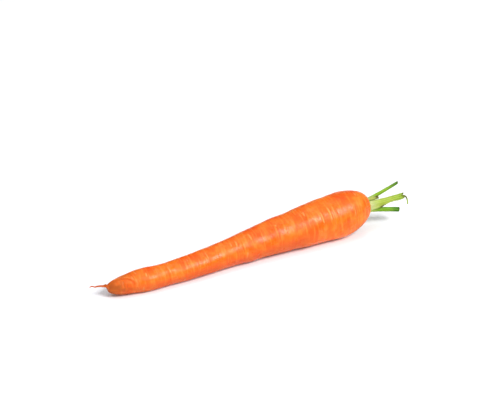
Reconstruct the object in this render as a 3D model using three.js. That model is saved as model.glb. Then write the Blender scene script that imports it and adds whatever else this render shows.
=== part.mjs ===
// A whole carrot lying on its side, as picked and trimmed: a blunt tapering taproot that ends in a
// thread-like tail, and the stubs of six leaf stalks that stand in the dimple of its crown.
//
// Millimetres, +Z up. The root lies along X with its crown towards +X and its tail towards -X, and
// rests on the plane z = 0. The origin is on that plane, under the middle of the whole carrot.

import * as THREE from "three";

const { clamp, degToRad, lerp, smoothstep } = THREE.MathUtils;

// ---- Taproot ----
const ROOT_LENGTH = 190.6; // from the rim of the crown to the blunt tip, without the tail
const SHOULDER_DIAMETER = 31.4; // what the root narrows from, below the crown
const TIP_DIAMETER = 14.8; // what it narrows to, before the tip rounds off
const TIP_STRETCH = 30; // the last length, which narrows no more until the tip rounds off
const TAPER_POWER = 0.87; // under 1 narrows sooner behind the shoulder
const SHOULDER_ROUND = 26; // length over which the shoulder rounds over to the crown
const TIP_ROUND = 25; // length over which the tip rounds off
const CROWN_RISE = 1.0; // how far the middle of the crown stands above the middle of the shoulder
const TIP_LIFT = 1.1; // how far the last stretch of the root lifts off the surface
const LIFT_LENGTH = 40; // length of that stretch
const TIP_DROP = 1.6; // how far the middle of the tip droops below the middle of the root before it
const REST_FLAT = 0.45; // how deep the underside is pressed flat where the root rests
const ARCH = 0.35; // how far the middle of the root lifts off the surface between its ends
const SIDE_BENDS = [-1.5, 1.3, -0.65]; // sideways bend in one, two and three half waves along the root

// ---- How the root strays from a round section, as shares of its radius ----
const OVAL = 0.018;
const THREE_SIDED = 0.012;
const BROAD_RINGS = 0.01;
const NARROW_RINGS = 0.008;
const WAIST = 0.035; // a shallow waist just before the tip
const WAIST_FROM_TIP = 16;
const WAIST_WIDTH = 4.5;

// ---- Tail ----
const TAIL_LENGTH = 9.5;
const TAIL_ROOT_DIAMETER = 1.9; // where it leaves the tip
const TAIL_END_DIAMETER = 0.7;
const TAIL_RISE = 2.4; // how far above the tip's middle it leaves
const TAIL_TURN = 1.5; // length over which the middle of the tip swings up to it
const TAIL_BEND = 3.8; // how far its end swings back

// ---- Crown ----
const DIMPLE_DEPTH = 1.5; // from the rim to the floor that the stalks stand on
const DIMPLE_WALL = 1.3; // width of the slope between floor and rim
const DIMPLE_MARGIN = 0.3; // from the outermost stalk at rim height to the foot of that slope

// ---- Leaf stalks ----
const STALK_GAP = 0.3; // between neighbouring stalks, and from each stalk to the crown
const STALK_BEND = 1.2; // 1 makes the stalks straight, and more bends them away from their feet
const STALK_CHANNEL = 0.45; // depth of the channel on the inner side, as a share of half the thickness
const CHANNEL_WIDTH = 0.5; // width of that channel, as a share of half the stalk's width
const RING_START = 12; // degrees from +Y towards +Z where the first ring stalk stands
const RING_SLACK = 1.06; // how much longer the ring is than the stalks and gaps in it, end to end

// Stalks of the outer ring in order round the crown. Width is round the ring and thickness is across it.
// Lean is how far the cut end stands off the stalk's foot, backwards (+Y) and upwards (+Z). Slant is how
// far the cut runs out of square. A torn stalk ends in a strand that curls over.
const RING_STALKS = [
  {
    name: "stalk_upper_long",
    footWidth: 3.2,
    endWidth: 2.2,
    footThickness: 3.0,
    endThickness: 1.9,
    length: 29.8,
    lean: [2.6, 6.4],
    slant: 0.3,
    colour: "#7fb03a",
  },
  {
    name: "stalk_short_stub",
    footWidth: 3.0,
    endWidth: 2.5,
    footThickness: 2.8,
    endThickness: 2.2,
    length: 10.4,
    lean: [-1.8, 1.2],
    slant: -0.2,
    colour: "#a9b765",
  },
  {
    name: "stalk_middle_torn",
    footWidth: 3.9,
    endWidth: 4.4,
    footThickness: 3.7,
    endThickness: 3.4,
    length: 25.2,
    lean: [-5.9, 3.7],
    slant: 0,
    colour: "#b4cf62",
    strand: { width: 0.9, thickness: 0.7, reach: 4.4, drop: 7.4 },
  },
  {
    name: "stalk_lower_thick",
    footWidth: 3.7,
    endWidth: 5.0,
    footThickness: 3.3,
    endThickness: 3.6,
    length: 23.5,
    lean: [-5.0, -3.2],
    slant: 0.15,
    colour: "#6fa52e",
  },
  {
    name: "stalk_back",
    footWidth: 3.0,
    endWidth: 2.6,
    footThickness: 2.6,
    endThickness: 2.2,
    length: 10.5,
    lean: [2.4, -2.0],
    slant: -0.25,
    colour: "#9dbf55",
  },
];
const INNER_STALK = {
  name: "stalk_inner",
  footWidth: 2.0,
  endWidth: 1.4,
  footThickness: 1.8,
  endThickness: 1.6,
  length: 9,
  lean: [0.9, 1.4],
  slant: 0.2,
  colour: "#c3d47c",
};

// ---- How finely the surfaces are divided ----
const ROOT_SIDES = 48;
const ROOT_STATIONS = 54; // along the body
const END_CROWDING = 3; // how much closer the stations stand at both ends of the body
const TAIL_STATIONS = 6;
const DIMPLE_STATIONS = 4;
const STALK_SIDES = 12;
const STALK_STEPS = 14;

// ---- Worked out from the sizes above ----
const ringPlaces = RING_STALKS.map((stalk) => Math.max(stalk.footWidth, stalk.footThickness) + STALK_GAP);
const ringLength = ringPlaces.reduce((sum, place) => sum + place, 0);
const thickest = Math.max(...RING_STALKS.map((stalk) => stalk.footThickness));
const ringRadius = Math.max(
  (RING_SLACK * ringLength) / (2 * Math.PI),
  (INNER_STALK.footWidth + thickest) / 2 + STALK_GAP,
);
const steepestLean = Math.max(...RING_STALKS.map((stalk) => Math.hypot(...stalk.lean) / stalk.length));
const floorRadius = ringRadius + thickest / 2 + steepestLean * DIMPLE_DEPTH + DIMPLE_MARGIN;
const rimRadius = floorRadius + DIMPLE_WALL;
const floorX = -DIMPLE_DEPTH; // the rim of the crown is at x = 0 until the whole carrot is centred
// How far the rim stands back from the point that the round of the shoulder would come to.
const rimShare = Math.min(1, (2 * rimRadius) / SHOULDER_DIAMETER);
const rimSetback = SHOULDER_ROUND * (1 - Math.sqrt(1 - rimShare ** 2));

/** A quarter-round that rises from 0 to 1 as its share goes from 0 to 1. */
function quarterRound(share) {
  const left = 1 - clamp(share, 0, 1);
  return Math.sqrt(1 - left * left);
}

/** Radius of the plain taper at a depth below the crown's rim. */
function taperRadius(depth) {
  const share = clamp(depth / (ROOT_LENGTH - TIP_STRETCH), 0, 1);
  const narrowed = (1 - Math.cos(Math.PI * share ** TAPER_POWER)) / 2;
  return lerp(SHOULDER_DIAMETER, TIP_DIAMETER, narrowed) / 2;
}

/** Radius of the body at a depth below the crown's rim, with the shoulder and the tip rounded. */
function bodyRadius(depth) {
  const shoulder = quarterRound((depth + rimSetback) / SHOULDER_ROUND);
  const tip = quarterRound((ROOT_LENGTH - depth) / TIP_ROUND);
  return taperRadius(depth) * shoulder * tip;
}

/** Radius of the tail at a distance past the tip of the body. */
function tailRadius(past) {
  const share = clamp(past / TAIL_LENGTH, 0, 1);
  return lerp(TAIL_ROOT_DIAMETER, TAIL_END_DIAMETER, Math.sqrt(share)) / 2;
}

/** The root's outline, from the tail's end on the axis, round the body, to the middle of the crown. */
function rootOutline() {
  const points = [new THREE.Vector2(0, -ROOT_LENGTH - TAIL_LENGTH)];
  for (let i = 0; i < TAIL_STATIONS; i++) {
    const past = TAIL_LENGTH * (1 - i / TAIL_STATIONS);
    points.push(new THREE.Vector2(tailRadius(past), -ROOT_LENGTH - past));
  }
  for (let i = 0; i <= ROOT_STATIONS; i++) {
    const even = 1 - i / ROOT_STATIONS;
    const shift = (Math.sin(2 * Math.PI * (even - 0.5)) * (1 - 1 / END_CROWDING)) / (2 * Math.PI);
    const depth = ROOT_LENGTH * (even + shift);
    points.push(new THREE.Vector2(Math.max(bodyRadius(depth), tailRadius(0)), -depth));
  }
  for (let i = 1; i <= DIMPLE_STATIONS; i++) {
    const share = i / DIMPLE_STATIONS;
    points.push(new THREE.Vector2(rimRadius - DIMPLE_WALL * share, floorX * smoothstep(share, 0, 1)));
  }
  points.push(new THREE.Vector2(0, floorX));
  return points;
}

/** How much fuller or leaner the root is than its outline, at a depth and an angle round it. */
function swell(depth, angle) {
  const oval = OVAL * Math.cos(2 * (angle - 0.5));
  const threeSided = THREE_SIDED * Math.cos(3 * angle + depth / 34);
  const broad = BROAD_RINGS * Math.sin(depth / 6.1 + 0.8 * Math.sin(angle));
  const narrow = NARROW_RINGS * Math.sin(depth / 3.7 + 1.3);
  const waist = WAIST * Math.exp(-(((ROOT_LENGTH - WAIST_FROM_TIP - depth) / WAIST_WIDTH) ** 2));
  const awayFromRim = smoothstep(depth, 0, 0.5 * SHOULDER_ROUND);
  return 1 + (oval + threeSided + broad + narrow - waist) * awayFromRim;
}

/** The middle of the root's section at a depth below the rim: [sideways, up]. */
function axisAt(depth) {
  const share = clamp(depth / ROOT_LENGTH, 0, 1);
  const past = Math.max(0, depth - ROOT_LENGTH) / TAIL_LENGTH;
  const bend = SIDE_BENDS.reduce((sum, size, i) => sum + size * Math.sin((i + 1) * Math.PI * share), 0);
  const arch = ARCH * Math.sin(Math.PI * share) ** 2;
  const crownLift = CROWN_RISE * (1 - smoothstep(depth, 0, SHOULDER_ROUND));
  const tipDrop = TIP_DROP * smoothstep(depth, ROOT_LENGTH - TIP_ROUND, ROOT_LENGTH);
  const tipLift = TIP_LIFT * smoothstep(depth, ROOT_LENGTH - LIFT_LENGTH, ROOT_LENGTH);
  const tailLift = TAIL_RISE * smoothstep(depth, ROOT_LENGTH - TAIL_TURN, ROOT_LENGTH);
  const height = taperRadius(depth) - REST_FLAT + arch + crownLift + tipLift - tipDrop + tailLift;
  return [bend + TAIL_BEND * past, height];
}

/** The taproot: its outline turned round X, then swollen, bent along its axis and pressed flat below. */
function taprootGeometry() {
  const geometry = new THREE.LatheGeometry(rootOutline(), ROOT_SIDES);
  const place = geometry.getAttribute("position");
  for (let i = 0; i < place.count; i++) {
    const depth = -place.getY(i);
    const across = -place.getX(i);
    const up = place.getZ(i);
    const fuller = depth > ROOT_LENGTH ? 1 : swell(depth, Math.atan2(up, across));
    const [axisY, axisZ] = axisAt(depth);
    place.setXYZ(i, -depth, axisY + across * fuller, Math.max(axisZ + up * fuller, 0));
  }
  return geometry;
}

/** The line that a leaf stalk follows, from its foot on the crown to its cut end and along its strand. */
function stalkCurve(stalk, foot) {
  const [back, up] = stalk.lean;
  const at = (share) => {
    const bent = share ** STALK_BEND;
    return new THREE.Vector3(stalk.length * share, back * bent, up * bent).add(foot);
  };
  const points = [0, 0.12, 0.35, 0.6, 0.8, 1].map(at);
  if (stalk.strand) {
    const { reach, drop } = stalk.strand;
    for (const turn of [0.35, 0.7, 1]) {
      const angle = (Math.PI / 2) * turn;
      points.push(at(1).add(new THREE.Vector3(reach * Math.sin(angle), 0, -drop * (1 - Math.cos(angle)))));
    }
  }
  return new THREE.CatmullRomCurve3(points);
}

/** A leaf stalk: a channelled oval section carried along its curve, with its foot flat on the crown. */
function stalkGeometry(stalk, foot, outward) {
  const geometry = new THREE.CylinderGeometry(1, 1, 1, STALK_SIDES, STALK_STEPS);
  const curve = stalkCurve(stalk, foot);
  const strand = stalk.strand ?? { width: stalk.endWidth, thickness: stalk.endThickness };
  const stalkShare = stalk.strand ? stalk.length / curve.getLength() : 1;
  const place = geometry.getAttribute("position");
  for (let i = 0; i < place.count; i++) {
    const share = place.getY(i) + 0.5;
    const round = place.getX(i);
    const radial = place.getZ(i);
    const torn = stalk.strand ? smoothstep(share, stalkShare, stalkShare + 0.1) : 0;
    const grown = Math.min(1, share / stalkShare);
    const width = lerp(lerp(stalk.footWidth, stalk.endWidth, grown), strand.width, torn);
    const stalkThickness = lerp(stalk.footThickness, stalk.endThickness, grown);
    const thickness = lerp(stalkThickness, strand.thickness, torn);
    const hollow = STALK_CHANNEL * (1 - torn) * Math.exp(-((round / CHANNEL_WIDTH) ** 2));
    const across = radial < 0 ? radial * (1 - hollow) : radial;
    const slant = stalk.slant * round * smoothstep(share, 0.75, 1);
    const forward = new THREE.Vector3(1, 0, 0);
    forward.lerp(curve.getTangentAt(share), smoothstep(share, 0, 0.2)).normalize();
    const outer = outward.clone().addScaledVector(forward, -outward.dot(forward)).normalize();
    const side = new THREE.Vector3().crossVectors(forward, outer);
    const spot = curve.getPointAt(share);
    spot.addScaledVector(side, (round * width) / 2);
    spot.addScaledVector(outer, (across * thickness) / 2);
    spot.addScaledVector(forward, slant);
    place.setXYZ(i, spot.x, spot.y, spot.z);
  }
  return geometry;
}

/** A named mesh with a plain finish. */
function piece(name, geometry, colour, roughness) {
  const material = new THREE.MeshStandardMaterial({ color: colour, roughness, metalness: 0 });
  const mesh = new THREE.Mesh(geometry, material);
  mesh.name = name;
  return mesh;
}

/** A leaf stalk that stands at an angle and a distance from the middle of the crown's floor. */
function leafStalk(stalk, angle, radius) {
  const [crownY, crownZ] = axisAt(0);
  const outward = new THREE.Vector3(0, Math.cos(angle), Math.sin(angle));
  const foot = new THREE.Vector3(floorX + STALK_GAP, crownY, crownZ).addScaledVector(outward, radius);
  return piece(stalk.name, stalkGeometry(stalk, foot, outward), stalk.colour, 0.55);
}

/** The ring of leaf stalks side by side round the crown. */
function ringStalks() {
  let walked = 0;
  return RING_STALKS.map((stalk, i) => {
    walked += i > 0 ? (ringPlaces[i - 1] + ringPlaces[i]) / 2 : 0;
    return leafStalk(stalk, degToRad(RING_START) + (2 * Math.PI * walked) / ringLength, ringRadius);
  });
}

const carrot = new THREE.Group();
carrot.add(piece("taproot", taprootGeometry(), "#fb8a3c", 0.42));
carrot.add(...ringStalks());
carrot.add(leafStalk(INNER_STALK, Math.PI / 2, 0));

// The origin goes under the middle of the carrot, on the surface that it lies on.
const middle = new THREE.Box3().setFromObject(carrot).getCenter(new THREE.Vector3());
carrot.position.set(-middle.x, -middle.y, 0);

export default carrot;
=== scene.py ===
"""A whole raw carrot lying on its side, finished: its skin, its crown and its cut leaf stalks.

Each class holds the sizes of one part of the carrot in millimetres, in a frame of its own: the crown's
rim is at x = 0, the root runs towards -X, +Z is up and the carrot lies on z = 0. The meshes are moved to
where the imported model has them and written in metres.
"""

import logging
import math
from dataclasses import dataclass
from enum import Enum

import bpy
import numpy as np
from mathutils import Matrix, Vector


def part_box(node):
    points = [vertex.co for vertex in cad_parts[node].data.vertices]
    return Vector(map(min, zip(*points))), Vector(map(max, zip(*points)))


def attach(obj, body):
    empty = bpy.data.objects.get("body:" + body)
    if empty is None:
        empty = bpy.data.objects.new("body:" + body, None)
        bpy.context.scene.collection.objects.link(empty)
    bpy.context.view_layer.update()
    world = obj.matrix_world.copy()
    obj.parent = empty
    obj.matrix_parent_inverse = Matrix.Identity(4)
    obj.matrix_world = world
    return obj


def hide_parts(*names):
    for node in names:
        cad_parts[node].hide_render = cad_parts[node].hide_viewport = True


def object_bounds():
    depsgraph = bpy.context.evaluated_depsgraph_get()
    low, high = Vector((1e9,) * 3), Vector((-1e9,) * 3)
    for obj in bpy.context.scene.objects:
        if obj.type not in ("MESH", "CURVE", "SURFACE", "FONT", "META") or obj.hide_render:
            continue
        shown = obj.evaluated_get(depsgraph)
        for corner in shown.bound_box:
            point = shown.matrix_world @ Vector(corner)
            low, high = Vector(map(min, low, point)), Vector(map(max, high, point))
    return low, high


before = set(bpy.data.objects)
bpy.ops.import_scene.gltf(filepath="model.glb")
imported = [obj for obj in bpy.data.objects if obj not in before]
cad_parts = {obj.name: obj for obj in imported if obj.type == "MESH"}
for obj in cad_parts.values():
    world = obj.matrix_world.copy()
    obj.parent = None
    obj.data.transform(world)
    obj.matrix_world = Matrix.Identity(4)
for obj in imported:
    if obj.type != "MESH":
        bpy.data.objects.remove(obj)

LOG = logging.getLogger("carrot")
MM = 0.001
BODY = "root"
CAD_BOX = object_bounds()


# --- Numbers ---------------------------------------------------------------------------------------


def smoothstep(value: np.ndarray, low: float, high: float) -> np.ndarray:
    """Rise smoothly from 0 up to the low value to 1 from the high one on."""
    share = np.clip((value - low) / (high - low), 0.0, 1.0)
    return share * share * (3.0 - 2.0 * share)


def blend(start: np.ndarray, end: np.ndarray, share: np.ndarray) -> np.ndarray:
    """Go from start to end by a share between 0 and 1."""
    return start + (end - start) * share


def quarter_round(share: np.ndarray) -> np.ndarray:
    """Rise from 0 to 1 along a quarter of a circle."""
    left = 1.0 - np.clip(share, 0.0, 1.0)
    return np.sqrt(1.0 - left * left)


def bell(distance: np.ndarray, width: float) -> np.ndarray:
    """A smooth hump of height 1 that has fallen to about a third at the given distance."""
    return np.exp(-((distance / width) ** 2))


def turn_between(angle: np.ndarray, middle: float) -> np.ndarray:
    """The shortest turn from one angle to others, in radians."""
    return (angle - middle + math.pi) % (2.0 * math.pi) - math.pi


def unit(directions: np.ndarray) -> np.ndarray:
    """Directions brought to length 1."""
    return directions / np.linalg.norm(directions, axis=1, keepdims=True)


def angles_round(sides: int) -> np.ndarray:
    """Evenly spread angles all the way round, in radians."""
    return np.arange(sides) * 2.0 * math.pi / sides


def link(name: str, data: bpy.types.ID) -> bpy.types.Object:
    """Put a mesh, a lamp or a camera into the scene.

    Args:
        name: Name of the new object.
        data: What it shows.

    Returns:
        The new object.
    """
    thing = bpy.data.objects.new(name, data)
    bpy.context.scene.collection.objects.link(thing)
    return thing


@dataclass
class WrappedNoise:
    """Smooth seeded noise from -1 to 1 over a length and all the way round.

    Attributes:
        seed: Start of the random draws.
        length: The length that the cells are spread over.
        cell: Length of one cell.
        cells_round: How many cells go round.
    """

    seed: int
    length: float
    cell: float
    cells_round: int

    def __post_init__(self) -> None:
        """Draw the value of every cell corner."""
        rows = int(math.ceil(self.length / self.cell)) + 3
        draws = np.random.default_rng(self.seed)
        self.corners = draws.uniform(-1.0, 1.0, (rows, self.cells_round))

    def at(self, along: np.ndarray, angle: np.ndarray) -> np.ndarray:
        """Read the noise.

        Args:
            along: Distances along the length.
            angle: Angles round it, in radians.

        Returns:
            The noise at each place.
        """
        just_inside = self.corners.shape[0] - 2.001
        row = np.clip(along / self.cell, 0.0, just_inside)
        column = (angle / (2.0 * math.pi) % 1.0) * self.cells_round
        i, j = np.floor(row).astype(int), np.floor(column).astype(int)
        u, v = row - i, column - j
        u, v = u * u * (3.0 - 2.0 * u), v * v * (3.0 - 2.0 * v)
        j, k = j % self.cells_round, (j + 1) % self.cells_round
        near = blend(self.corners[i, j], self.corners[i, k], v)
        far = blend(self.corners[i + 1, j], self.corners[i + 1, k], v)
        return blend(near, far, u)


# --- Meshes ----------------------------------------------------------------------------------------


class Shells:
    """Closed tube-like shells gathered into one mesh, with named values at their points."""

    def __init__(self, *value_names: str) -> None:
        """Start with no shells.

        Args:
            value_names: Names of the values that every point carries.
        """
        self.points: list[np.ndarray] = []
        self.faces: list[list[int]] = []
        self.values: dict[str, list[np.ndarray]] = {name: [] for name in value_names}
        self.count = 0

    def add(self, rings: np.ndarray, poles: tuple[np.ndarray, np.ndarray], **values: np.ndarray) -> None:
        """Add one shell: rings of points in order, closed by a pole at each end.

        Args:
            rings: Points as rings, points round a ring, and coordinates.
            poles: The point that closes the first ring and the one that closes the last.
            values: A value for each point of each ring, by name. Names left out are 0.
        """
        rows, sides = rings.shape[:2]
        here = np.arange(sides)
        after = (here + 1) % sides
        low = sides * np.arange(rows - 1)[:, None]
        quads = np.stack([low + here, low + after, low + sides + after, low + sides + here], -1)
        quads = quads.reshape(-1, 4)
        start, end, last = rows * sides, rows * sides + 1, (rows - 1) * sides
        first_fan = np.stack([np.full(sides, start), after, here], -1)
        fans = np.concatenate([first_fan, np.stack([np.full(sides, end), last + here, last + after], -1)])
        points = np.concatenate([rings.reshape(-1, 3), np.asarray(poles, float)])
        corners = points[np.concatenate([quads[:, :3], quads[:, [0, 2, 3]], fans])]
        if (corners[:, 0] * np.cross(corners[:, 1], corners[:, 2])).sum() < 0.0:
            quads, fans = quads[:, ::-1], fans[:, ::-1]
        self.points.append(points)
        self.faces += (quads + self.count).tolist() + (fans + self.count).tolist()
        for name, held in self.values.items():
            value = np.broadcast_to(values.get(name, 0.0), (rows, sides))
            held += [value.reshape(-1), np.array([value[0].mean(), value[-1].mean()])]
        self.count += len(points)

    def build(self, name: str, place: Vector, material: bpy.types.Material) -> bpy.types.Object:
        """Make the mesh object, in metres, with its faces pointing out.

        Args:
            name: Name of the piece.
            place: Where the crown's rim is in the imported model, in metres.
            material: Finish of the piece.

        Returns:
            The new object.
        """
        points = np.concatenate(self.points) * MM + np.array(place)
        mesh = bpy.data.meshes.new(name)
        mesh.from_pydata(points.tolist(), [], self.faces)
        for value_name, held in self.values.items():
            layer = mesh.attributes.new(value_name, "FLOAT", "POINT")
            layer.data.foreach_set("value", np.concatenate(held).astype(np.float32))
        mesh.shade_smooth()
        mesh.materials.append(material)
        mesh.validate()
        return link(name, mesh)


# --- Shader node groups and finishes ---------------------------------------------------------------


def tint(code: str) -> tuple[float, float, float, float]:
    """Turn a display colour such as "#fb8a3c" into the linear colour that shaders use."""
    shares = [int(code[i : i + 2], 16) / 255.0 for i in (1, 3, 5)]
    return (*(s / 12.92 if s <= 0.04045 else ((s + 0.055) / 1.055) ** 2.4 for s in shares), 1.0)


Socket = bpy.types.NodeSocket
Feed = Socket | float | tuple


class Graph:
    """A node tree that is being built, with short ways to add nodes and join them."""

    def __init__(self, tree: bpy.types.NodeTree) -> None:
        """Take the tree to build in, and empty it."""
        self.tree = tree
        self.tree.nodes.clear()

    def feed(self, socket: Socket, source: Feed) -> None:
        """Join a socket to another, or set its value.

        Args:
            socket: The input to feed.
            source: The output that feeds it, or its value.
        """
        if isinstance(source, Socket):
            self.tree.links.new(source, socket)
        else:
            socket.default_value = source

    def add(self, kind: str, inputs: dict | None = None, **settings: object) -> bpy.types.Node:
        """Add a node.

        Args:
            kind: The node's type name, without its ShaderNode prefix.
            inputs: What feeds its inputs, by socket name or number.
            settings: The node's own settings.

        Returns:
            The new node.
        """
        node = self.tree.nodes.new("ShaderNode" + kind)
        for name, value in settings.items():
            setattr(node, name, value)
        for name, source in (inputs or {}).items():
            self.feed(node.inputs[name], source)
        return node

    def math(self, operation: str, a: Feed, b: Feed, clamp: bool = False) -> Socket:
        """Work out one sum."""
        return self.add("Math", {0: a, 1: b}, operation=operation, use_clamp=clamp).outputs[0]

    def remap(self, value: Feed, low: float, high: float, start: float = 0.0, end: float = 1.0) -> Socket:
        """Map a value smoothly from low and high to start and end, and hold it between them."""
        inputs = {0: value, 1: low, 2: high, 3: start, 4: end}
        return self.add("MapRange", inputs, interpolation_type="SMOOTHSTEP").outputs[0]

    def mix(self, share: Feed, a: Feed, b: Feed) -> Socket:
        """Mix two colours by a share. A mix node has its colours at inputs 6 and 7 and at output 2."""
        return self.add("Mix", {0: share, 6: a, 7: b}, data_type="RGBA").outputs[2]

    def value_of(self, name: str) -> Socket:
        """Read a named value that the mesh's points carry."""
        return self.add("Attribute", attribute_name=name).outputs["Fac"]

    def group(self, tree: bpy.types.NodeTree, **inputs: Feed) -> Socket:
        """Place a node group.

        Args:
            tree: The group's node tree.
            inputs: What feeds its inputs, by name.

        Returns:
            The group's first output.
        """
        node = self.tree.nodes.new("ShaderNodeGroup")
        node.node_tree = tree
        for name, source in inputs.items():
            self.feed(node.inputs[name], source)
        return node.outputs[0]


class SocketKind(Enum):
    """What a node group's socket carries."""

    VALUE = "NodeSocketFloat"
    COLOUR = "NodeSocketColor"
    VECTOR = "NodeSocketVector"


class EffectGroups:
    """The effects that several finishes share, each a node group that is built once.

    STAIN_EDGE is from where to where a ragged mask's stain fades in, STAIN_POWER how soon it is strong,
    PORE_SHARE the pores' height beside the ripples', and RELIEF_RANGE what brings both within 0 to 1.
    """

    STAIN_EDGE = (0.1, 0.9)
    STAIN_POWER = 0.7
    PORE_SHARE = 0.35
    RELIEF_RANGE = 0.74

    def __init__(self) -> None:
        """Build every group."""
        self.patches = self._patches()
        self.browning = self._browning()
        self.relief = self._relief()

    def _start(
        self, name: str, output: SocketKind, **inputs: SocketKind
    ) -> tuple[Graph, list[Socket], Socket]:
        """Make an empty group with its sockets.

        Args:
            name: Name of the group.
            output: What its output carries.
            inputs: What each input carries, by name.

        Returns:
            The graph to build in, the group's inputs in order, and the socket that its result goes to.
        """
        tree = bpy.data.node_groups.new(name, "ShaderNodeTree")
        graph = Graph(tree)
        for label, kind in inputs.items():
            tree.interface.new_socket(label, in_out="INPUT", socket_type=kind.value)
        tree.interface.new_socket("Result", in_out="OUTPUT", socket_type=output.value)
        source = tree.nodes.new("NodeGroupInput")
        result = tree.nodes.new("NodeGroupOutput")
        return graph, list(source.outputs)[: len(inputs)], result.inputs[0]

    def _stretched_noise(self, graph: Graph, place: Socket, scale: Socket, detail: float) -> Socket:
        """Noise over a place that is stretched by a scale for each direction."""
        stretched = graph.add("VectorMath", {0: place, 1: scale}, operation="MULTIPLY").outputs[0]
        return graph.add("TexNoise", {"Vector": stretched, "Scale": 1.0, "Detail": detail}).outputs["Fac"]

    def _patches(self) -> bpy.types.NodeTree:
        """Build soft uneven patches, stretched by a scale for each direction.

        Returns:
            The group, whose result is a mask from 0 to 1.
        """
        kinds = {"Place": SocketKind.VECTOR, "Scale": SocketKind.VECTOR, "Contrast": SocketKind.VALUE}
        graph, (place, scale, contrast), result = self._start("Patches", SocketKind.VALUE, **kinds)
        centred = graph.math("SUBTRACT", self._stretched_noise(graph, place, scale, detail=3.0), 0.5)
        mask = graph.math("ADD", graph.math("MULTIPLY", centred, contrast), 0.5, clamp=True)
        graph.feed(result, mask)
        return graph.tree

    def _browning(self) -> bpy.types.NodeTree:
        """Build the stain that one colour leaves on another where a mask says, with a ragged edge.

        Returns:
            The group, whose result is the stained colour.
        """
        kinds = {
            "Colour": SocketKind.COLOUR,
            "Stain": SocketKind.COLOUR,
            "Mask": SocketKind.VALUE,
            "Place": SocketKind.VECTOR,
            "Grain": SocketKind.VALUE,
        }
        graph, sources, result = self._start("Browning", SocketKind.COLOUR, **kinds)
        colour, stain, mask, place, grain = sources
        noise = graph.add("TexNoise", {"Vector": place, "Scale": grain, "Detail": 4.0})
        ragged = graph.math("ADD", mask, graph.math("SUBTRACT", noise.outputs["Fac"], 0.5))
        share = graph.math("MULTIPLY", graph.remap(ragged, *self.STAIN_EDGE), mask)
        graph.feed(result, graph.mix(graph.math("POWER", share, self.STAIN_POWER), colour, stain))
        return graph.tree

    def _relief(self) -> bpy.types.NodeTree:
        """Build fine ripples that are stretched one way, and small pores.

        Returns:
            The group, whose result is a height from 0 to 1.
        """
        kinds = {"Place": SocketKind.VECTOR, "Stretch": SocketKind.VECTOR, "Pores": SocketKind.VALUE}
        graph, (place, stretch, pores), result = self._start("Fine Relief", SocketKind.VALUE, **kinds)
        ripples = self._stretched_noise(graph, place, stretch, detail=4.0)
        dots = graph.add("TexNoise", {"Vector": place, "Scale": pores, "Detail": 2.0}).outputs["Fac"]
        height = graph.math("ADD", ripples, graph.math("MULTIPLY", dots, self.PORE_SHARE))
        graph.feed(result, graph.math("MULTIPLY", height, self.RELIEF_RANGE))
        return graph.tree


@dataclass(frozen=True)
class Bench:
    """What a material is being built with.

    Attributes:
        graph: The material's graph.
        effects: The shared node groups.
        place: The place on the piece.
    """

    graph: Graph
    effects: EffectGroups
    place: Socket

    def patches(self, scale: tuple[float, float, float], contrast: float) -> Socket:
        """Soft uneven patches as a mask: how fine they are along each axis, and how sharply they end."""
        return self.graph.group(self.effects.patches, Place=self.place, Scale=scale, Contrast=contrast)


@dataclass(frozen=True)
class Layer:
    """A colour laid over another, in soft uneven patches or where one of the mesh's masks says.

    Attributes:
        colour: Its colour.
        mask: Name of the mesh's mask, or nothing for patches.
        grain: Fineness of a ragged stain's edge round the mask, or 0 for no such edge.
        scale: How fine the patches are along each axis.
        contrast: How sharply they end.
        unevenness: How far the patches shift a mask's values.
        span: From where to where in the values it fades in. Nothing is taken for the whole of them.
        share: How much of the colour there is where it is fullest.
    """

    colour: str
    mask: str = ""
    grain: float = 0.0
    scale: tuple[float, float, float] = (0.0, 0.0, 0.0)
    contrast: float = 1.0
    unevenness: float = 0.0
    span: tuple[float, float] | None = None
    share: float = 1.0

    def over(self, colour: Feed, bench: Bench) -> Socket:
        """Lay it over a colour.

        Args:
            colour: The colour below.
            bench: What the material is being built with.

        Returns:
            The colour with this one on it.
        """
        graph = bench.graph
        if self.grain > 0.0:
            inputs = {"Colour": colour, "Stain": tint(self.colour), "Mask": graph.value_of(self.mask)}
            return graph.group(bench.effects.browning, **inputs, Place=bench.place, Grain=self.grain)
        value = graph.value_of(self.mask) if self.mask else bench.patches(self.scale, self.contrast)
        if self.unevenness > 0.0:
            uneven = graph.math("SUBTRACT", bench.patches(self.scale, self.contrast), 0.5)
            value = graph.math("ADD", value, graph.math("MULTIPLY", uneven, self.unevenness))
        if self.span is not None:
            value = graph.remap(value, *self.span)
        return graph.mix(graph.math("MULTIPLY", value, self.share), colour, tint(self.colour))


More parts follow.
